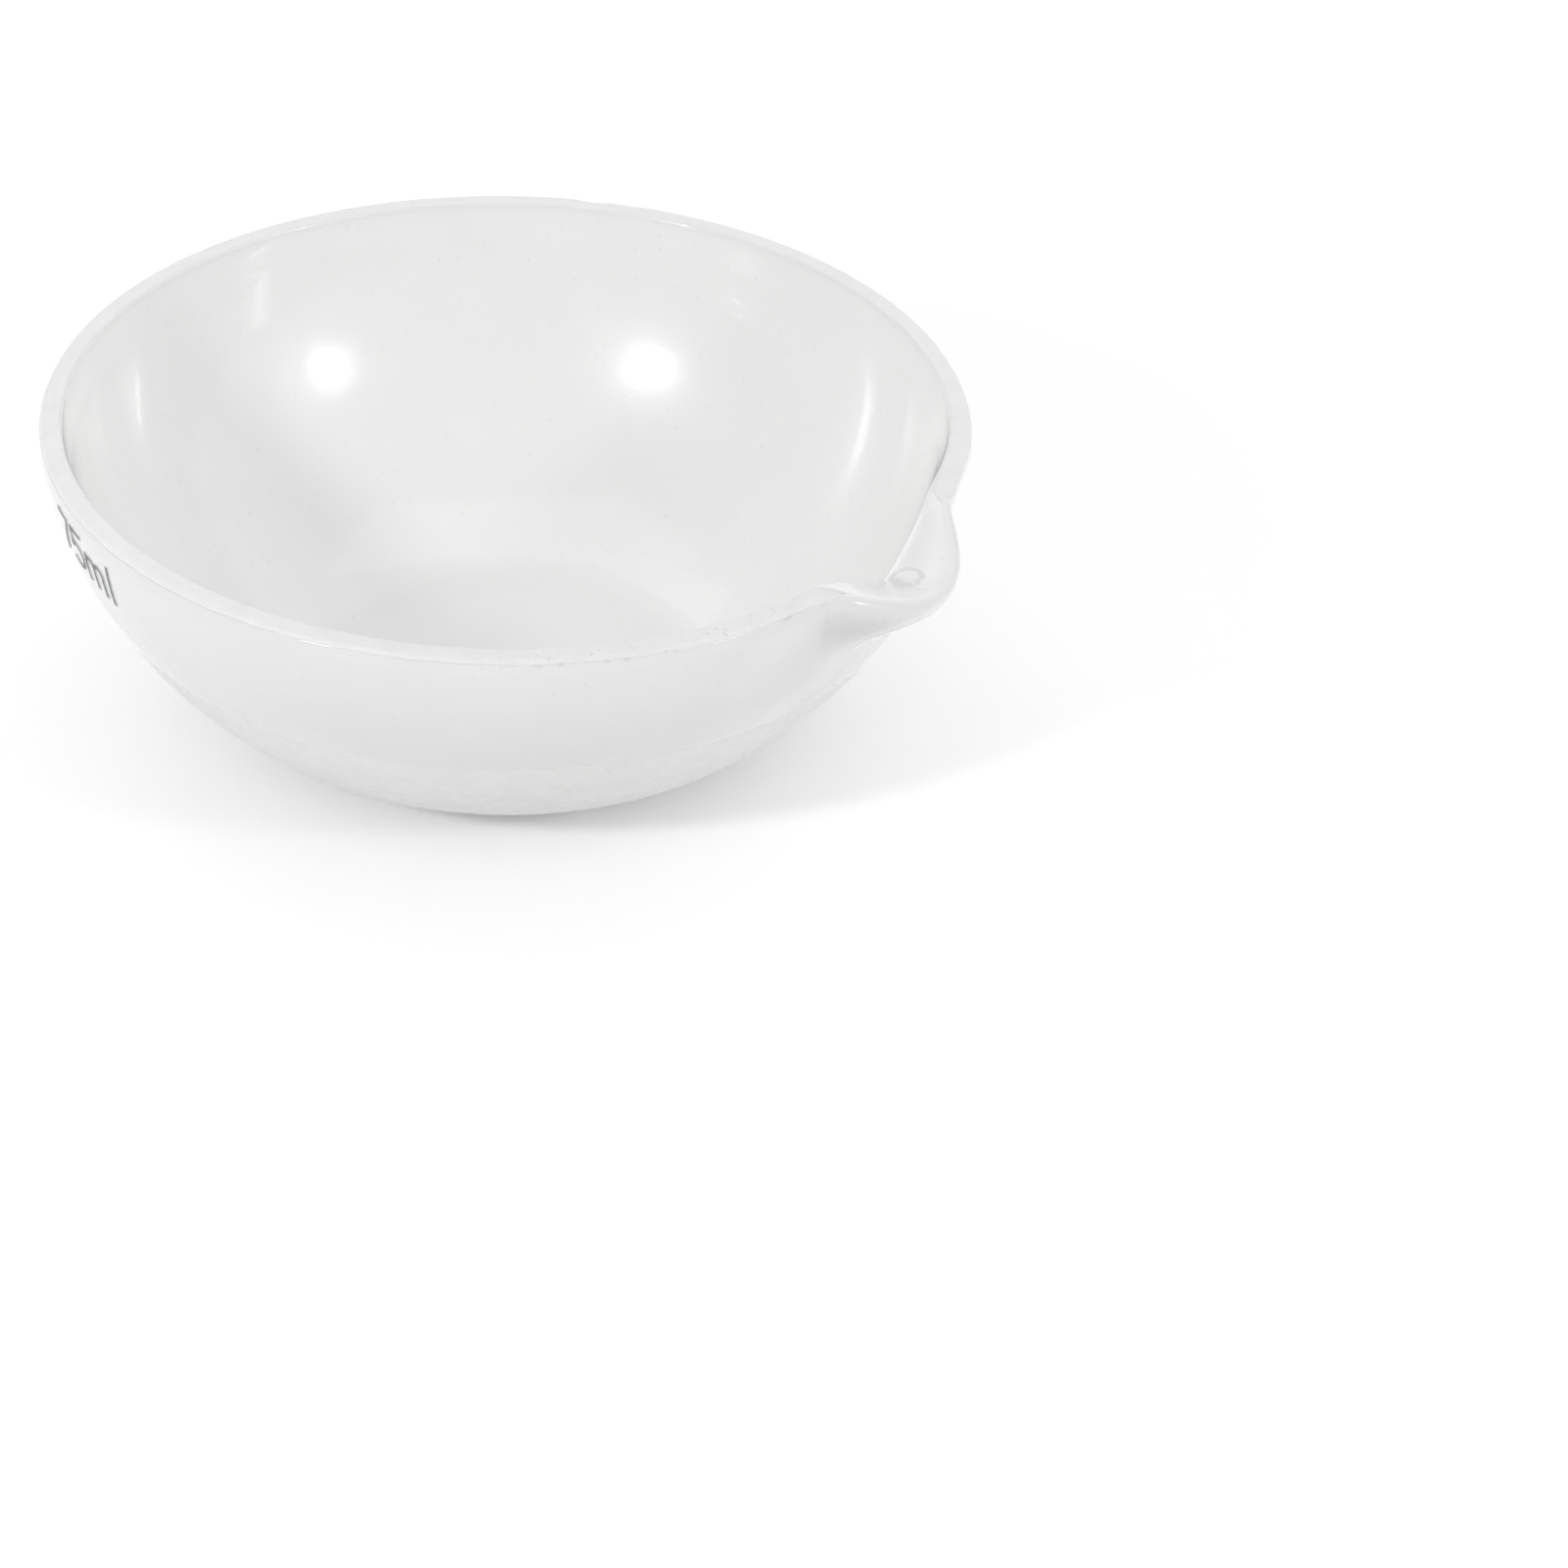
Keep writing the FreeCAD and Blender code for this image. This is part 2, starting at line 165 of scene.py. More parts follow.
def two_arcs(rim_radius, rim_z, flat_radius, flat_z):
    """Wall section under the rim: an upper arc and a tangent knuckle arc that ends level."""
    lean = math.radians(RIM_LEAN)
    knuckle_lean = math.radians(KNUCKLE_LEAN)
    across = rim_radius - flat_radius
    down = rim_z - flat_z
    upper_across = math.cos(lean) - math.cos(knuckle_lean)
    upper_down = math.sin(knuckle_lean) - math.sin(lean)
    lower_across = math.cos(knuckle_lean)
    lower_down = 1.0 - math.sin(knuckle_lean)
    both = upper_across * lower_down - upper_down * lower_across
    upper = (across * lower_down - down * lower_across) / both
    knuckle = (down * upper_across - across * upper_down) / both
    upper_length = upper * (knuckle_lean - lean)
    length = upper_length + knuckle * (math.pi / 2.0 - knuckle_lean)

    def at(depth):
        turn = lean + depth / upper
        r = rim_radius - upper * (math.cos(lean) - np.cos(turn))
        z = rim_z - upper * (np.sin(turn) - math.sin(lean))
        turn = knuckle_lean + (depth - upper_length) / knuckle
        low_r = flat_radius + knuckle * np.cos(turn)
        low_z = flat_z + knuckle * (1.0 - np.sin(turn))
        r = np.where(depth > upper_length, low_r, r)
        z = np.where(depth > upper_length, low_z, z)
        flat = depth > length
        return np.where(flat, flat_radius - (depth - length), r), np.where(flat, flat_z, z)

    return at, length


OUTER_CENTRE = RIM_RADIUS - OUTER_ROUND
INNER_CENTRE = RIM_RADIUS - WALL + INNER_ROUND
OUTER_END = math.radians(90.0 + RIM_LEAN)
INNER_END = math.radians(90.0 - RIM_LEAN)

outer_at, WALL_TOP = two_arcs(
    OUTER_CENTRE + OUTER_ROUND * math.sin(OUTER_END),
    HEIGHT - OUTER_ROUND * (1.0 - math.cos(OUTER_END)),
    BASE_RADIUS,
    0.0,
)
inner_at, INNER_LENGTH = two_arcs(
    INNER_CENTRE - INNER_ROUND * math.sin(INNER_END),
    HEIGHT - INNER_ROUND * (1.0 - math.cos(INNER_END)),
    FLOOR_RADIUS,
    FLOOR,
)

# Borders of the rows, as distances along the section
GLAZE_EDGE = WALL_TOP - GLAZE_LINE
BAND_OUTSIDE = WALL_TOP + OUTER_ROUND * OUTER_END
BAND_INSIDE = BAND_OUTSIDE + OUTER_CENTRE - INNER_CENTRE
INSIDE_TOP = BAND_INSIDE + INNER_ROUND * INNER_END
FLOOR_EDGE = INSIDE_TOP + INNER_LENGTH
BASE_CENTRE = -BASE_RADIUS
FLOOR_CENTRE = FLOOR_EDGE + FLOOR_RADIUS


def plain_section(along):
    """Radius and height away from the spout, with the share of the way across the rim."""
    r, z = outer_at(WALL_TOP - np.minimum(along, WALL_TOP))
    share = np.ones_like(along)
    angle = (BAND_OUTSIDE - along) / OUTER_ROUND
    here = (along > WALL_TOP) & (along <= BAND_OUTSIDE)
    r = np.where(here, OUTER_CENTRE + OUTER_ROUND * np.sin(angle), r)
    z = np.where(here, HEIGHT - OUTER_ROUND * (1.0 - np.cos(angle)), z)
    turned = 1.0 - np.sin(angle / OUTER_END * math.pi / 2.0)
    share = np.where(here, 1.0 - OUTER_ROUND / WALL * turned, share)
    here = (along > BAND_OUTSIDE) & (along <= BAND_INSIDE)
    flat = OUTER_CENTRE - (along - BAND_OUTSIDE)
    r = np.where(here, flat, r)
    z = np.where(here, HEIGHT, z)
    share = np.where(here, (flat - RIM_RADIUS + WALL) / WALL, share)
    angle = (along - BAND_INSIDE) / INNER_ROUND
    here = (along > BAND_INSIDE) & (along <= INSIDE_TOP)
    r = np.where(here, INNER_CENTRE - INNER_ROUND * np.sin(angle), r)
    z = np.where(here, HEIGHT - INNER_ROUND * (1.0 - np.cos(angle)), z)
    turned = 1.0 - np.sin(angle / INNER_END * math.pi / 2.0)
    share = np.where(here, INNER_ROUND / WALL * turned, share)
    here = along > INSIDE_TOP
    low_r, low_z = inner_at(np.maximum(along - INSIDE_TOP, 0.0))
    return np.where(here, low_r, r), np.where(here, low_z, z), np.where(here, 0.0, share)


def from_spout(azimuth):
    """Degrees between an azimuth and the middle of the spout, either way."""
    return np.degrees(np.abs((azimuth + math.pi) % (2.0 * math.pi) - math.pi))


def swell(azimuth, half_angle, shape):
    part = np.minimum(from_spout(azimuth) / half_angle, 1.0)
    return (1.0 - part ** shape[0]) ** shape[1]


def fade(depth, length):
    part = np.clip(depth / length, 0.0, 1.0)
    return (1.0 - part) ** 2 * (1.0 + 2.0 * part)


def smooth(value, low, high):
    """0 below low, 1 above high, level at both ends."""
    part = np.clip((value - low) / (high - low), 0.0, 1.0)
    return part * part * (3.0 - 2.0 * part)


def hump(distance, width):
    """1 at no distance, falling softly to 0 over about this width."""
    return np.exp(-((distance / width) ** 2))


def between(start, end, share):
    return start + (end - start) * share


def dent(along, azimuth):
    depth = np.maximum(np.maximum(WALL_TOP - along, along - INSIDE_TOP), 0.0)
    beside = hump(from_spout(azimuth) - DENT_ANGLE, DENT_WIDTH)
    return DENT * beside * hump(depth - DENT_DEPTH, DENT_HEIGHT)


def biscuit_points(along, azimuth):
    """Points of the biscuit's surface, one for each pair of values."""
    along, azimuth = np.broadcast_arrays(along, azimuth)
    r, z, share = plain_section(along)
    lip_half_angle = np.where(np.sin(azimuth) > 0.0, LIP_HALF_ANGLE, WIDE_HALF_ANGLE)
    lip = swell(azimuth, lip_half_angle, LIP_SHAPE) * fade(WALL_TOP - along, LIP_FADE)
    dip = swell(azimuth, DIP_HALF_ANGLE, DIP_SHAPE) * fade(along - INSIDE_TOP, INNER_FADE)
    r = r + share * LIP_REACH * lip - (1.0 - share) * INNER_PULL * dip
    r = r - dent(along, azimuth)
    z = z - share * LIP_DIP * lip - (1.0 - share) * INNER_DIP * dip
    z = z - 4.0 * share * (1.0 - share) * TROUGH_SAG * dip
    return np.stack([r * np.cos(azimuth), r * np.sin(azimuth), z], axis=-1)


def normals(along, azimuth):
    step = 1e-3
    turn = step / RIM_RADIUS
    up = biscuit_points(along + step, azimuth) - biscuit_points(along - step, azimuth)
    around = biscuit_points(along, azimuth + turn) - biscuit_points(along, azimuth - turn)
    square = np.cross(around, up)
    return square / np.linalg.norm(square, axis=-1, keepdims=True)


def ripple(points, length, seed, count=20):
    """Seeded unevenness, mostly between -1 and 1, with waves of about this length."""
    draw = np.random.default_rng(SEED + seed)
    heading = draw.normal(size=(count, 3))
    heading /= np.linalg.norm(heading, axis=1, keepdims=True)
    pace = draw.uniform(0.6, 1.5, count) * 2.0 * math.pi / length
    phase = draw.uniform(0.0, 2.0 * math.pi, count)
    total = np.zeros(points.shape[:-1])
    for i in range(count):
        total += np.sin(points @ (heading[i] * pace[i]) + phase[i])
    return total / math.sqrt(count)


def wavy(points, waves, seed):
    """Seeded unevenness with the height and length in waves."""
    height, length = waves
    return height * ripple(points, length, seed)


def azimuth_columns():
    """Angles round the bowl, close together at the spout."""
    near = np.arange(-SPOUT_COLUMNS, SPOUT_COLUMNS, SPOUT_STEP)
    count = round((360.0 - 2.0 * SPOUT_COLUMNS) / BOWL_STEP)
    far = np.linspace(SPOUT_COLUMNS, 360.0 - SPOUT_COLUMNS, count + 1)[:-1]
    return np.radians(np.concatenate([near, far]))[None, :]


AZIMUTHS = azimuth_columns()
RING = np.stack([np.cos(AZIMUTHS), np.sin(AZIMUTHS), np.zeros_like(AZIMUTHS)], axis=-1) * RIM_RADIUS
ON_WORN_SIDE = np.cos(AZIMUTHS - math.radians(WORN_SIDE))
IN_SPOUT = 1.0 - smooth(from_spout(AZIMUTHS), *[TROUGH_HALF_ANGLE + more for more in TROUGH_TAPER])


def spaced(*stops):
    """Distances from stop to stop: spaced(start, (end, step), (end, step), ...)."""
    values = [stops[0]]
    for end, step in stops[1:]:
        count = max(1, round((end - values[-1]) / step))
        values += list(np.linspace(values[-1], end, count + 1)[1:])
    return np.array(values)[:, None]


def closed_mesh(name, rows, tone, poles=None):
    """Skin over rings of points, with the lightness of the surface at each of them. With poles it
    closes at both ends, and without them the last ring joins the first."""
    count, around = rows.shape[:2]
    points = [rows.reshape(-1, 3)]
    next_row = [(i, (i + 1) % count) for i in range(count if poles is None else count - 1)]
    low = np.array([a for a, b in next_row])[:, None] * around
    high = np.array([b for a, b in next_row])[:, None] * around
    here = np.arange(around)[None, :]
    beside = (here + 1) % around
    quads = np.stack([low + here, low + beside, high + beside, high + here], axis=-1)
    faces = quads.reshape(-1, 4).tolist()
    values = np.broadcast_to(tone, rows.shape[:2]).reshape(-1).tolist()
    if poles is not None:
        points.append(np.array(poles))
        first, last = count * around, count * around + 1
        top = (count - 1) * around
        faces += [[first, (i + 1) % around, i] for i in range(around)]
        faces += [[last, top + i, top + (i + 1) % around] for i in range(around)]
        values += [values[0], values[-1]]
    mesh = bpy.data.meshes.new(name)
    mesh.from_pydata((np.concatenate(points) * MM).tolist(), [], faces)
    mesh.polygons.foreach_set("use_smooth", [True] * len(mesh.polygons))
    mesh.attributes.new(TONE, "FLOAT", "POINT").data.foreach_set("value", values)
    mesh.update()
    piece = bpy.data.objects.new(name, mesh)
    bpy.context.scene.collection.objects.link(piece)
    return piece


def shaded(tone, share, where):
    """Tone times a share where it applies."""
    return tone * (1.0 - (1.0 - share) * where)


# Biscuit


def biscuit_tone(along):
    upper = smooth(along, WALL_TOP - 1.0, WALL_TOP)
    tone = between(BARE_SHADED_TONE, RIM_TONE, upper)
    tone = shaded(tone, EDGE_TONE, smooth(along, INSIDE_TOP - 0.16, INSIDE_TOP - 0.02))
    return shaded(tone, WORN_TONE, smooth(ON_WORN_SIDE, 0.2, 0.9) * upper)


def biscuit():
    """Whole biscuit: turned base and wall, worn rim. It is coarse where the glaze hides it."""
    line = GLAZE_EDGE + 2.0 * LINE_WANDER[0]
    along = spaced(
        BASE_CENTRE + 1.0,
        (-1.0, 0.5), (2.0, 0.12), (line, 0.3), (WALL_TOP - 1.0, 1.5),
        (INSIDE_TOP + 0.6, 0.1), (FLOOR_EDGE, 1.8), (FLOOR_CENTRE - 1.5, 2.5),
    )
    points = biscuit_points(along, AZIMUTHS)
    on_rim = smooth(along, WALL_TOP - 0.3, WALL_TOP + 0.1)
    on_rim = on_rim * (1.0 - smooth(along, INSIDE_TOP, INSIDE_TOP + 0.4))
    bare = 1.0 - smooth(along, line - 0.3, line + 0.3)
    hidden = np.maximum(1.0 - on_rim - bare, 0.0)
    turned = wavy(along * np.array([1.0, 0.0, 0.0]), TURNING, 1)[:, None]
    height = bare * (turned + wavy(points, BARE_GRAIN, 2))
    height = height + on_rim * (wavy(points, RIM_GRAIN, 3) + wavy(points, RIM_WAVES, 4))
    points = points + normals(along, AZIMUTHS) * (height - SINK * hidden)[..., None]
    points[..., 2] -= NICK * hump(np.degrees(AZIMUTHS) - NICK_AT, NICK_WIDTH) * on_rim
    points[..., 2] = np.maximum(points[..., 2], 0.0)
    poles = [(0.0, 0.0, 0.0), (0.0, 0.0, FLOOR - SINK)]
    return closed_mesh("porcelain_biscuit", points, biscuit_tone(along), poles)


# Glaze coats


def coat_height(points):
    return GLAZE + wavy(points, GLAZE_RIPPLE, 5)


def edge_thickness(distance, swell_end):
    """Share of the full coat at this distance from an edge at the rim: a round, then a slow swell."""
    part = np.clip(distance / EDGE_ROUND, 0.0, 1.0)
    rounded = np.sqrt(1.0 - (1.0 - part) ** 2)
    return THIN_EDGE * rounded + (1.0 - THIN_EDGE) * smooth(distance, SWELL_START, swell_end)


def coat_back(along):
    """Hidden back of a coat, just inside the biscuit."""
    return biscuit_points(along, AZIMUTHS) - normals(along, AZIMUTHS) * 2.0 * SINK


def from_drop(points):
    """Distance from the middle of the drop: 1 at its outline, and without end outside the trough."""
    away = points[..., :2] - np.array(BEAD_AT)
    turn = math.radians(BEAD_TURN)
    length = (away @ np.array([math.cos(turn), math.sin(turn)])) / BEAD_SIZE[0]
    width = (away @ np.array([-math.sin(turn), math.cos(turn)])) / BEAD_SIZE[1]
    return np.where(points[..., 2] > HEIGHT - BEAD_BELOW_RIM, np.hypot(length, width), np.inf)


def inner_tone(along, run, drop):
    tone = between(RIM_TONE, INSIDE_TONE, smooth(along, INSIDE_TOP - 0.4, INSIDE_TOP + 0.6))
    over_lip = 1.0 - smooth(along, WALL_TOP, BAND_OUTSIDE + 0.3)
    tone = tone + (OUTSIDE_SHADED_TONE - RIM_TONE) * over_lip
    tone = shaded(tone, EDGE_TONE, (1.0 - smooth(run, 0.04, 0.2)) * (1.0 - IN_SPOUT))
    # Painted shade in the trough of the spout
    trough = smooth(along, BAND_OUTSIDE - 0.1, BAND_OUTSIDE + 1.0)
    trough = trough * (1.0 - smooth(along, INSIDE_TOP - 0.5, INSIDE_TOP))
    tone = shaded(tone, TROUGH_SHADE_TONE, IN_SPOUT * trough)
    # Painted highlight along the inner edge of the spout
    tone = shaded(tone, CREASE_HIGHLIGHT_TONE, IN_SPOUT * hump(along - INSIDE_TOP + CREASE_CLIMB, CREASE_WIDTH))
    # Painted dark outline round the drop, for the dark edge of the reflection in it
    return shaded(tone, DROP_AND_LIP_SHADE_TONE, hump(1.0 - drop, OUTLINE_WIDTH))


def inner_coat():
    """Glaze of the bowl. It starts thin under the rim and runs out over the lip, where it laps the
    outer coat."""
    edge = INSIDE_TOP - INNER_CLIMB + wavy(RING, EDGE_WANDER, 6)
    edge = between(edge, WALL_TOP + LAP_START, IN_SPOUT)
    deep = INNER_LENGTH + FLOOR_RADIUS

    def place(run):
        start = between(edge, INSIDE_TOP, np.minimum(run / LEVEL_AFTER, 1.0))
        return np.minimum(run + start, FLOOR_CENTRE - LAST_RING)

    run = spaced(0.0, (0.4, 0.05), (4.0, 0.1), (8.0, 0.4), (deep - 1.0, 0.7))
    along = place(run)
    points = biscuit_points(along, AZIMUTHS)
    full = coat_height(points)
    lapped = full - LAP_THIN + LAP_GAIN * smooth(run, 0.0, LAP_LENGTH)
    lift = between(full * edge_thickness(run, INNER_SWELL), lapped, IN_SPOUT)
    drop = from_drop(points)
    lift = lift + BEAD * np.clip(1.0 - drop ** 2, 0.0, 1.0) ** BEAD_SHAPE
    front = points + normals(along, AZIMUTHS) * lift[..., None]
    back = coat_back(place(spaced(0.0, (3.0, 1.0), (deep - 1.0, 2.0))[::-1]))
    tone = np.concatenate([np.full(back.shape[:2], INSIDE_TONE), inner_tone(along, run, drop)])
    poles = [(0.0, 0.0, FLOOR - 2.0 * SINK), (0.0, 0.0, FLOOR + GLAZE)]
    return closed_mesh("inner_glaze_coat", np.concatenate([back, front]), tone, poles)


def outer_tone(along, from_high):
    tone = between(LOW_SHADED_TONE, OUTSIDE_SHADED_TONE, smooth(along, GLAZE_EDGE, WALL_TOP))
    tone = tone + (RIM_TONE - OUTSIDE_SHADED_TONE) * smooth(along, WALL_TOP, BAND_OUTSIDE + 0.3)
    # Painted shade under the lip, where it hangs over the wall
    under_lip_shade = hump(from_spout(AZIMUTHS) - UNDER_LIP_SHADE_ANGLE, UNDER_LIP_SHADE_WIDTH)
    tone = shaded(tone, DROP_AND_LIP_SHADE_TONE, under_lip_shade * hump(WALL_TOP - along - UNDER_LIP_SHADE_DEPTH, UNDER_LIP_SHADE_HEIGHT))
    chipped = smooth(ripple(RING, CHIP_SPACING, 10), 0.2, 0.9) * smooth(ON_WORN_SIDE, 0.92, 0.99)
    return shaded(tone, CHIP_TONE, chipped * (1.0 - smooth(from_high, *CHIP_END)))


def outer_coat():
    """Glaze of the upper wall: thin and wandering at its lower edge, over the lip at the spout."""
    low = GLAZE_EDGE + wavy(RING, LINE_WANDER, 7) + wavy(RING, LINE_WAVES, 8)
    high = WALL_TOP + OUTER_CLIMB + wavy(RING, EDGE_WANDER, 9)
    high = between(high, BAND_OUTSIDE + LAP_END, IN_SPOUT)
    along = between(low, high, spaced(0.0, (0.1, 0.0125), (0.9, 0.03), (1.0, 0.005)))
    from_low = along - low
    from_high = high - along
    points = biscuit_points(along, AZIMUTHS)
    rounded = np.sqrt(np.clip(from_low / LOW_EDGE_ROUND, 0.0, 1.0))
    swollen = smooth(from_low, SWELL_START, LOW_SWELL)
    lift = coat_height(points) * (LOW_THIN_EDGE * rounded + (1.0 - LOW_THIN_EDGE) * swollen)
    lift = lift * between(edge_thickness(from_high, OUTER_SWELL), 1.0, IN_SPOUT)
    lift = lift - LAP_SINK * IN_SPOUT * (1.0 - smooth(from_high, 0.0, 1.0))
    front = points + normals(along, AZIMUTHS) * lift[..., None]
    back = coat_back(between(low, high, np.linspace(1.0, 0.0, 10)[:, None]))
    tone = np.concatenate([outer_tone(along, from_high), np.full(back.shape[:2], OUTSIDE_SHADED_TONE)])
    return closed_mesh("outer_glaze_coat", np.concatenate([front, back]), tone)


# Materials


class Surface:
    """A Principled material with a short way to add and join nodes."""

    def __init__(self, name, **constants):
        self.made = bpy.data.materials.new(name)
        self.made.use_nodes = True
        self.tree = self.made.node_tree
        self.shader = self.tree.nodes["Principled BSDF"]
        for socket, value in constants.items():
            self.shader.inputs[socket.replace("_", " ")].default_value = value
        self.place = self.node("ShaderNodeTexCoord").outputs["Object"]

    def node(self, kind, inputs=None, **settings):
        made = self.tree.nodes.new(kind)
        for key, value in settings.items():
            setattr(made, key, value)
        for socket, value in (inputs or {}).items():
            self.join(value, made.inputs[socket])
        return made

    def join(self, value, socket):
        if isinstance(value, bpy.types.NodeSocket):
            self.tree.links.new(value, socket)
        else:
            socket.default_value = value

    def noise(self, length, detail=3.0, roughness=0.55):
        """Noise with features of this length in millimetres."""
        made = self.node("ShaderNodeTexNoise", {
            "Vector": self.place, "Scale": 1.0 / (length * MM),
            "Detail": detail, "Roughness": roughness,
        })
        return made.outputs["Fac"]

    def dots(self, spacing, radius, softness):
        """Round spots of about this radius in millimetres, 1 in their middle."""
        cells = self.node("ShaderNodeTexVoronoi", {
            "Vector": self.place, "Scale": 1.0 / (spacing * MM),
        })
        edge = radius / spacing
        return self.ramp(cells.outputs["Distance"], edge, edge * softness)

    def vector(self, operation, *values):
        inputs = dict(enumerate(values))
        return self.node("ShaderNodeVectorMath", inputs, operation=operation).outputs

    def along(self, azimuth):
        """Distance in metres from the axis towards an azimuth in degrees."""
        a = math.radians(azimuth)
        return self.vector("DOT_PRODUCT", self.place, (math.cos(a), math.sin(a), 0.0))["Value"]

    def facing(self, height):
        """1 where the surface faces away from the point at this height on the axis, and 0 where it is
        square to that."""
        away = self.vector("SUBTRACT", self.place, (0.0, 0.0, height * MM))["Vector"]
        away = self.vector("NORMALIZE", away)["Vector"]
        normal = self.node("ShaderNodeNewGeometry").outputs["True Normal"]
        return self.vector("DOT_PRODUCT", away, normal)["Value"]

    def ramp(self, value, low, high, to_low=0.0, to_high=1.0):
        made = self.node("ShaderNodeMapRange", {
            "Value": value, "From Min": low, "From Max": high, "To Min": to_low, "To Max": to_high,
        }, interpolation_type="SMOOTHSTEP")
        return made.outputs["Result"]

    def math(self, operation, a, b):
        return self.node("ShaderNodeMath", {0: a, 1: b}, operation=operation).outputs["Value"]

    def mix(self, share, a, b):
        made = self.node("ShaderNodeMix", {"Factor": share}, data_type="RGBA")
        self.join(a, made.inputs[6])
        self.join(b, made.inputs[7])
        return made.outputs[2]

    def tinted(self, share):
        """The lightness stored on the mesh, times a share, as a colour."""
        stored = self.node("ShaderNodeAttribute", attribute_name=TONE).outputs["Fac"]
        light = self.math("MULTIPLY", stored, share)
        dull = self.math("MULTIPLY", light, BLUE_SHARE)
        made = self.node("ShaderNodeCombineColor", {"Red": light, "Green": light, "Blue": dull})
        return made.outputs["Color"]

    def bump(self, height, depth, below=None):
        """Bump of this depth in millimetres for a height of 1."""
        made = self.node("ShaderNodeBump", {
            "Height": height, "Distance": depth * MM, "Strength": 1.0,
        })
        if below is not None:
            self.join(below, made.inputs["Normal"])
        return made.outputs["Normal"]

    def use(self, **sockets):
        for socket, value in sockets.items():
            self.join(value, self.shader.inputs[socket.replace("_", " ")])
        return self.made


def grey(value):
    return (value, value, value, 1.0)


PEPPER = 0.07               # how much darker the specks under the glaze are, as a share
PITS = 0.4                  # the same for the pits in the bare rim
FEW_PITS = 0.2              # share of that on the side of the rim that isn't worn
DARK_INK = (0.07, 0.085, 0.08, 1.0)
THIN_INK = (0.14, 0.165, 0.155, 1.0)


def glaze_material():
    """Clear glaze with a faint orange peel, over a white body with fine specks."""
    made = Surface("glaze_over_porcelain", Roughness=0.25, IOR=1.5, Coat_Weight=1.0, Coat_Roughness=0.025)
    cloud = made.ramp(made.noise(9.0, 2.0), 0.3, 0.7, 0.993, 1.007)
    patchy = made.ramp(made.noise(2.2), 0.38, 0.62, 0.0, PEPPER)
    pepper = made.math("MULTIPLY", made.dots(1.1, 0.26, 0.1), patchy)
    tone = made.math("MULTIPLY", cloud, made.math("SUBTRACT", 1.0, pepper))
    skin = made.bump(made.noise(2.2, 0.5), 0.003)
    return made.use(Base_Color=made.tinted(tone), Normal=skin)


def biscuit_material():
    """Bare porcelain: grainy, and pitted on the worn side of the rim."""
    made = Surface("bare_porcelain", Roughness=0.6, IOR=1.5)
    tone = made.ramp(made.noise(2.5), 0.3, 0.7, 0.985, 1.015)
    grain = made.noise(0.3, 4.0, 0.7)
    fine = made.ramp(grain, 0.35, 0.7, 0.985, 1.01)
    radius = RIM_RADIUS * MM
    worn = made.ramp(made.along(WORN_SIDE), 0.82 * radius, 0.97 * radius, FEW_PITS, 1.0)
    patchy = made.ramp(made.noise(1.7), 0.42, 0.6, 0.0, PITS)
    pits = made.math("MULTIPLY", made.math("MULTIPLY", made.dots(0.55, 0.12, 0.2), patchy), worn)
    tone = made.math("MULTIPLY", made.math("MULTIPLY", tone, fine), made.math("SUBTRACT", 1.0, pits))
    dimpled = made.bump(pits, -0.03, made.bump(grain, 0.03))
    rough = made.ramp(made.noise(0.9), 0.3, 0.7, 0.4, 0.7)
    return made.use(Base_Color=made.tinted(tone), Normal=dimpled, Roughness=rough)


def ink_material():
    """Ink that looks flush with the glaze: the thin sides of its strokes have the outer glaze's tone,
    painted shade and all.
    """
    made = Surface("fired_ink_grey_green", Roughness=0.42, IOR=1.5)
    thin = made.ramp(made.noise(0.5, 4.0), 0.42, 0.66)
    colour = made.mix(thin, DARK_INK, THIN_INK)
    on_top = made.ramp(made.facing(WALL_CENTRE), 0.5, 0.8)
    colour = made.mix(on_top, grey(OUTSIDE_SHADED_TONE), colour)
    return made.use(Base_Color=colour, Normal=made.bump(made.noise(0.3), 0.01))


def floor_material():
    """Pale and slightly bright of itself, so that only a soft shadow shows."""
    made = Surface(
        "pale_floor", Roughness=0.7, IOR=1.4, Emission_Color=grey(1.0), Emission_Strength=0.09,
    )
    return made.use(Base_Color=made.mix(made.noise(60.0), grey(0.93), grey(0.95)))


GLAZED = glaze_material()
BARE = biscuit_material()
INK = ink_material()

PIECES = (
    (biscuit, BARE, "porcelain_body", "biscuit"),
    (inner_coat, GLAZED, "inner_glaze", "glaze"),
    (outer_coat, GLAZED, "outer_glaze", "glaze"),
)
for make, finish, node, slot in PIECES:
    piece = make()
    piece.data.materials.append(finish)
    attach(piece, "root")
    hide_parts(node)

for node in ("mark_7", "mark_5", "mark_m", "mark_l"):
    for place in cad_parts[node].material_slots:
        place.material = INK

# Studio

VIEW_AZIMUTH = 33.14
VIEW_ELEVATION = 29.9
CAMERA_DISTANCE = 0.56      # from the middle of the rim
LENS = 150.05
SENSOR = 36.0
PAN = 2.456                 # the camera looks this far to the right of the rim's middle, and below it
TILT = -3.227
ROLL = 2.093

FLOOR_SIZE = 4.0
FLOOR_GAP = 1e-5            # between the floor and the underside of the dish

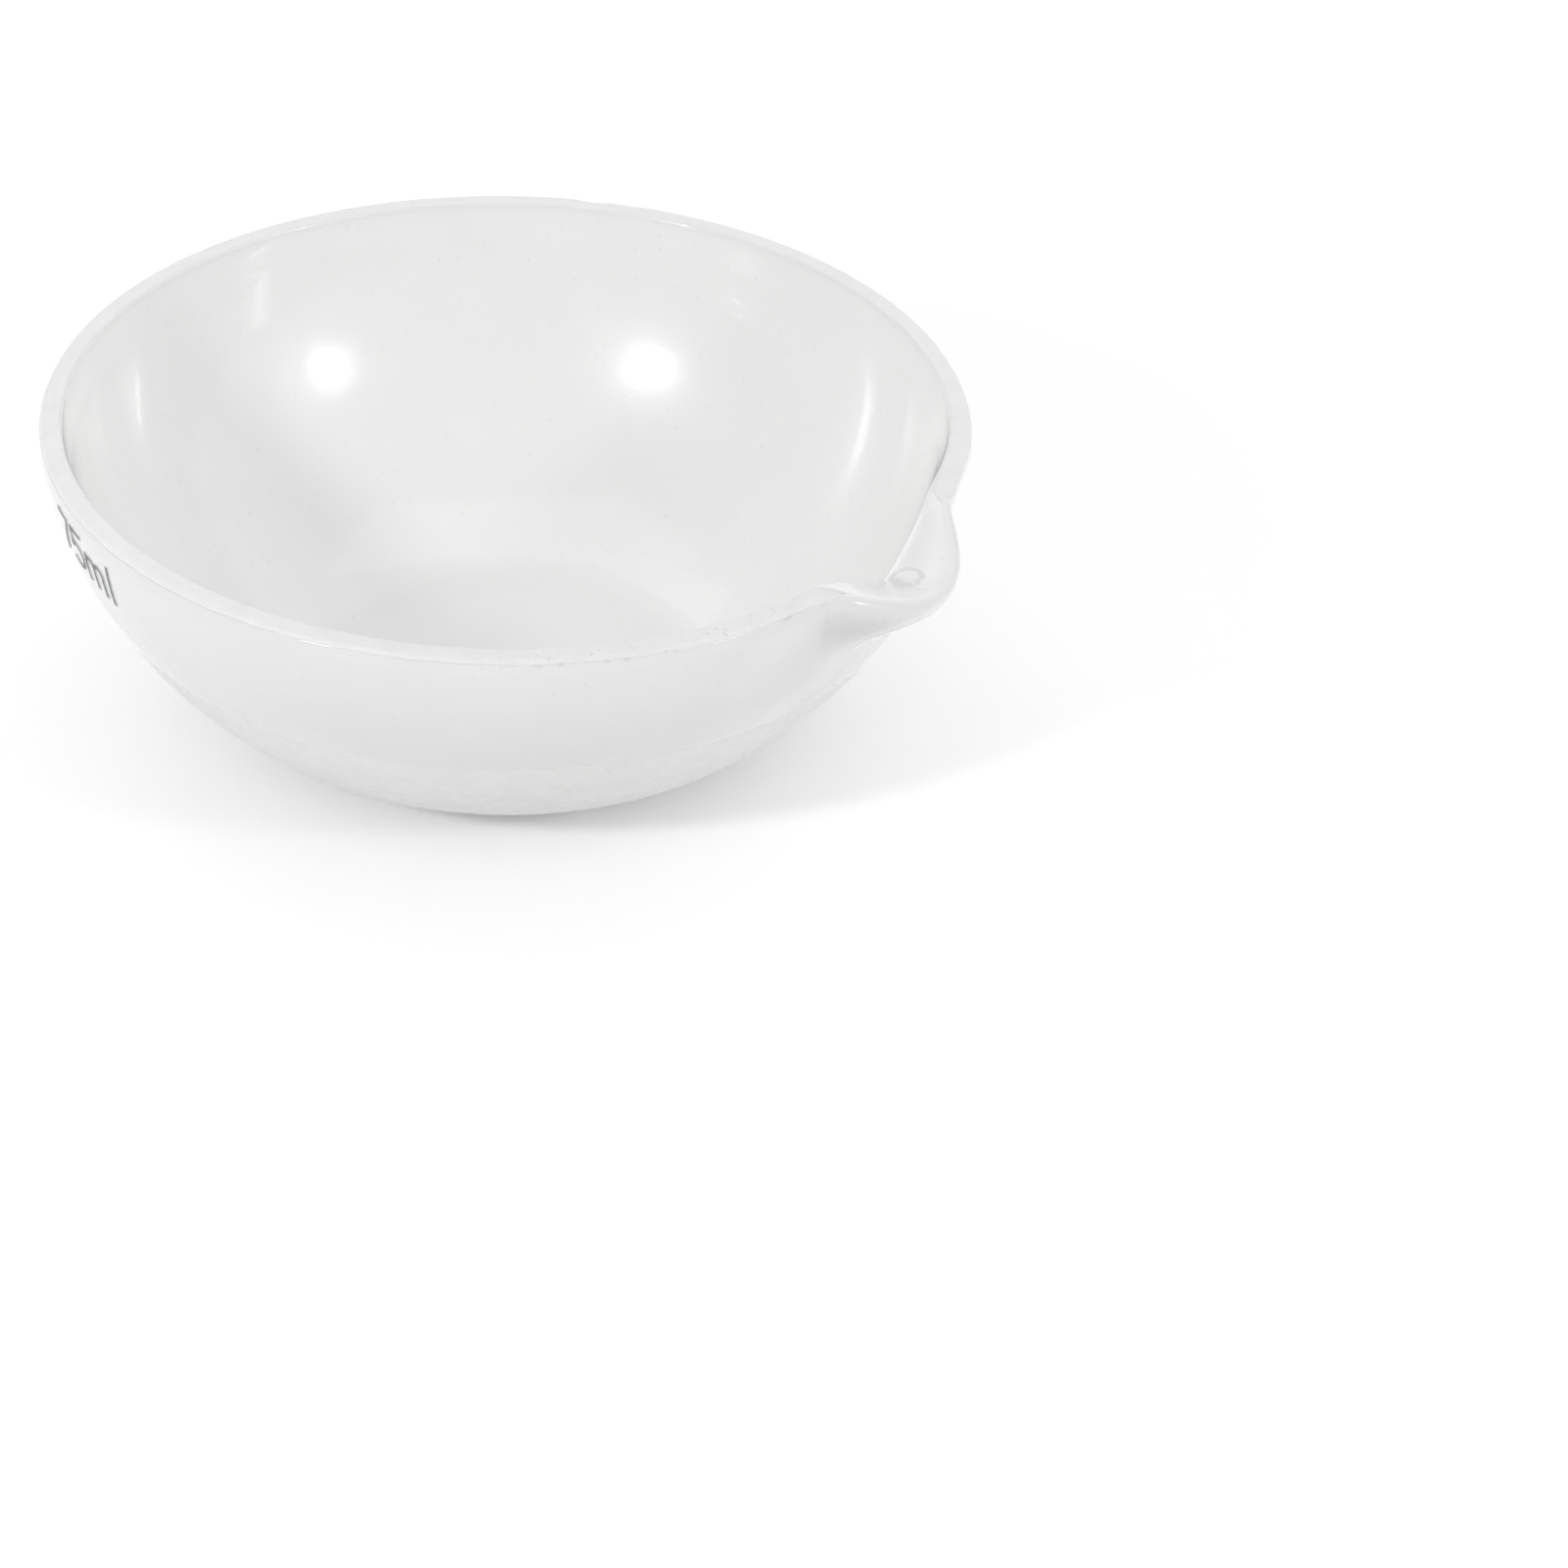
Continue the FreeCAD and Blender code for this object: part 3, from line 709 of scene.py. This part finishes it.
# Each lamp is a few discs, one behind the other, that make a bright core in a soft glow: name, side,
# height, and the width and radiance of each disc
LAMP_DISTANCE = 0.768
DISC_GAP = 0.002
LAMPS = (
    ("lamp_right", 123.0, 26.6, ((0.077, 41.0), (0.133, 1.6), (0.18, 0.9), (0.23, 0.5))),
    ("lamp_left", -134.7, 30.4, ((0.094, 82.0), (0.128, 1.3), (0.172, 0.8), (0.215, 0.45))),
)
SOFTBOXES = (               # name, side, height, distance, width, radiance and depth
    ("softbox", -8.0, 74.0, 0.8, 0.82, 0.42, 0.5),
    ("softbox_corner", -27.0, 46.6, 1.06, 0.28, 0.42, 0.36),
)
ROOM = 0.57                 # brightness of the room all round
WALLS = (                   # side and height of its brighter walls, and how much brighter
    (180.0, 15.0, 0.10),
    (-90.0, 10.0, 0.08),
    (90.0, 10.0, 0.52),
    (0.0, 15.0, 0.62),
)

BODY_LOW, BODY_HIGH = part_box("porcelain_body")
RIM_MIDDLE = Vector((0.0, 0.0, BODY_HIGH[2]))
VIEW_TURN = math.radians(VIEW_AZIMUTH)
RIGHT = Vector((math.cos(VIEW_TURN), math.sin(VIEW_TURN), 0.0))
AWAY = Vector((-math.sin(VIEW_TURN), math.cos(VIEW_TURN), 0.0))
UP = Vector((0.0, 0.0, 1.0))


def direction(side, height):
    """Direction from the dish. side is degrees from straight behind it towards the right of the
    view, and height is degrees above the table."""
    a, e = math.radians(side), math.radians(height)
    return (RIGHT * math.sin(a) + AWAY * math.cos(a)) * math.cos(e) + UP * math.sin(e)


def make_camera():
    back = direction(180.0, VIEW_ELEVATION)
    up = RIGHT.cross(-back)
    aim = -back + RIGHT * math.tan(math.radians(PAN)) + up * math.tan(math.radians(TILT))
    data = bpy.data.cameras.new("camera")
    data.sensor_width = SENSOR
    data.lens = LENS
    data.clip_start = 0.01
    data.clip_end = 50.0
    camera = bpy.data.objects.new("camera", data)
    camera.location = RIM_MIDDLE + back * CAMERA_DISTANCE
    camera.rotation_mode = "QUATERNION"
    roll = Quaternion((0.0, 0.0, 1.0), math.radians(ROLL))
    camera.rotation_quaternion = aim.to_track_quat("-Z", "Y") @ roll
    bpy.context.scene.collection.objects.link(camera)
    bpy.context.scene.camera = camera


def make_light(name, side, height, distance, width, radiance, depth=None):
    """Area light that looks at the dish: a disc, or a rectangle if it has a depth. radiance is what
    the dish sees of it."""
    data = bpy.data.lights.new(name, "AREA")
    data.shape = "DISK" if depth is None else "RECTANGLE"
    data.size = width
    area = math.pi * width * width / 4.0
    if depth is not None:
        data.size_y = depth
        area = width * depth
    data.energy = radiance * area * math.pi
    light = bpy.data.objects.new(name, data)
    towards = direction(side, height)
    light.location = RIM_MIDDLE + towards * distance
    light.rotation_mode = "QUATERNION"
    light.rotation_quaternion = (-towards).to_track_quat("-Z", "Y")
    bpy.context.scene.collection.objects.link(light)


def make_floor():
    mesh = bpy.data.meshes.new("floor")
    corners = [(-1.0, -1.0), (1.0, -1.0), (1.0, 1.0), (-1.0, 1.0)]
    level = BODY_LOW[2] - FLOOR_GAP
    mesh.from_pydata([(x * FLOOR_SIZE, y * FLOOR_SIZE, level) for x, y in corners], [], [(0, 1, 2, 3)])
    mesh.materials.append(floor_material())
    floor = bpy.data.objects.new("floor", mesh)
    bpy.context.scene.collection.objects.link(floor)


def make_world():
    """Even white room with soft brighter walls."""
    world = bpy.data.worlds.new("studio")
    world.use_nodes = True
    tree = world.node_tree
    background = tree.nodes["Background"]
    background.inputs["Color"].default_value = grey(1.0)
    outwards = tree.nodes.new("ShaderNodeTexCoord").outputs["Generated"]

    def worked_out(kind, operation, *values):
        made = tree.nodes.new(kind)
        made.operation = operation
        for socket, value in zip(made.inputs, values):
            if isinstance(value, bpy.types.NodeSocket):
                tree.links.new(value, socket)
            else:
                socket.default_value = value
        return made.outputs["Value"]

    total = ROOM
    for side, height, brighter in WALLS:
        facing = worked_out("ShaderNodeVectorMath", "DOT_PRODUCT", outwards, direction(side, height))
        facing = worked_out("ShaderNodeMath", "MAXIMUM", facing, 0.0)
        squared = worked_out("ShaderNodeMath", "POWER", facing, 2.0)
        total = worked_out("ShaderNodeMath", "MULTIPLY_ADD", squared, brighter, total)
    tree.links.new(total, background.inputs["Strength"])
    bpy.context.scene.world = world


make_camera()
make_floor()
make_world()
for name, side, height, discs in LAMPS:
    for i, (width, radiance) in enumerate(discs):
        make_light(f"{name}_{i}", side, height, LAMP_DISTANCE + DISC_GAP * i, width, radiance)
for softbox in SOFTBOXES:
    make_light(*softbox)
bpy.context.scene.view_settings.view_transform = "Standard"
